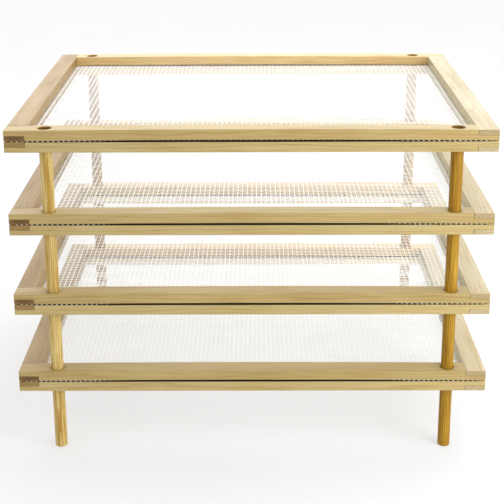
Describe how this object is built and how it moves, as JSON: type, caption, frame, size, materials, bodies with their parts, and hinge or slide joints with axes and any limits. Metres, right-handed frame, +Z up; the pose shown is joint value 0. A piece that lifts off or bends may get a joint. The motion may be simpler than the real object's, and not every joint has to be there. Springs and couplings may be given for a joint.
{
  "type": "stacking drying rack",
  "caption": "Stack of wooden trays with net bottoms that stand on round legs, for air-drying herbs, pollen or pasta; each tray lifts off the one below.",
  "frame": {"origin": "on the floor at the middle of the rack: centre of the box round it, at the legs' ends", "axes": "+X along the long rails, to the right seen from the front; -Y towards the front; +Z up"},
  "size_m": [0.38, 0.3, 0.2739],
  "materials": {
    "rail_wood": "planed pale softwood, unvarnished",
    "leg_wood": "round hardwood dowel, warmer than the rails",
    "net_thread": "white plastic thread net",
    "staple_wire": "galvanised flat wire"
  },
  "bodies": {
    "bottom_tray": {"bottom_tray_front_lower_rail": "rail_wood", "bottom_tray_front_upper_rail": "rail_wood", "bottom_tray_right_lower_rail": "rail_wood", "bottom_tray_right_upper_rail": "rail_wood", "bottom_tray_back_lower_rail": "rail_wood", "bottom_tray_back_upper_rail": "rail_wood", "bottom_tray_left_lower_rail": "rail_wood", "bottom_tray_left_upper_rail": "rail_wood", "bottom_tray_net": "net_thread", "bottom_tray_net_staples": "staple_wire", "bottom_tray_front_left_leg": "leg_wood", "bottom_tray_front_right_leg": "leg_wood", "bottom_tray_back_left_leg": "leg_wood", "bottom_tray_back_right_leg": "leg_wood"},
    "lower_tray": {"lower_tray_front_lower_rail": "rail_wood", "lower_tray_front_upper_rail": "rail_wood", "lower_tray_right_lower_rail": "rail_wood", "lower_tray_right_upper_rail": "rail_wood", "lower_tray_back_lower_rail": "rail_wood", "lower_tray_back_upper_rail": "rail_wood", "lower_tray_left_lower_rail": "rail_wood", "lower_tray_left_upper_rail": "rail_wood", "lower_tray_net": "net_thread", "lower_tray_net_staples": "staple_wire", "lower_tray_front_left_leg": "leg_wood", "lower_tray_front_right_leg": "leg_wood", "lower_tray_back_left_leg": "leg_wood", "lower_tray_back_right_leg": "leg_wood"},
    "upper_tray": {"upper_tray_front_lower_rail": "rail_wood", "upper_tray_front_upper_rail": "rail_wood", "upper_tray_right_lower_rail": "rail_wood", "upper_tray_right_upper_rail": "rail_wood", "upper_tray_back_lower_rail": "rail_wood", "upper_tray_back_upper_rail": "rail_wood", "upper_tray_left_lower_rail": "rail_wood", "upper_tray_left_upper_rail": "rail_wood", "upper_tray_net": "net_thread", "upper_tray_net_staples": "staple_wire", "upper_tray_front_left_leg": "leg_wood", "upper_tray_front_right_leg": "leg_wood", "upper_tray_back_left_leg": "leg_wood", "upper_tray_back_right_leg": "leg_wood"},
    "top_tray": {"top_tray_front_lower_rail": "rail_wood", "top_tray_front_upper_rail": "rail_wood", "top_tray_right_lower_rail": "rail_wood", "top_tray_right_upper_rail": "rail_wood", "top_tray_back_lower_rail": "rail_wood", "top_tray_back_upper_rail": "rail_wood", "top_tray_left_lower_rail": "rail_wood", "top_tray_left_upper_rail": "rail_wood", "top_tray_net": "net_thread", "top_tray_net_staples": "staple_wire", "top_tray_front_left_leg": "leg_wood", "top_tray_front_right_leg": "leg_wood", "top_tray_back_left_leg": "leg_wood", "top_tray_back_right_leg": "leg_wood"}
  },
  "joints": [
    {"name": "lower_tray_lift", "type": "slide", "parent": "bottom_tray", "child": "lower_tray", "axis": [0, 0, 1], "range_m": [0, 0.04]},
    {"name": "upper_tray_lift", "type": "slide", "parent": "lower_tray", "child": "upper_tray", "axis": [0, 0, 1], "range_m": [0, 0.04]},
    {"name": "top_tray_lift", "type": "slide", "parent": "upper_tray", "child": "top_tray", "axis": [0, 0, 1], "range_m": [0, 0.04]}
  ]
}
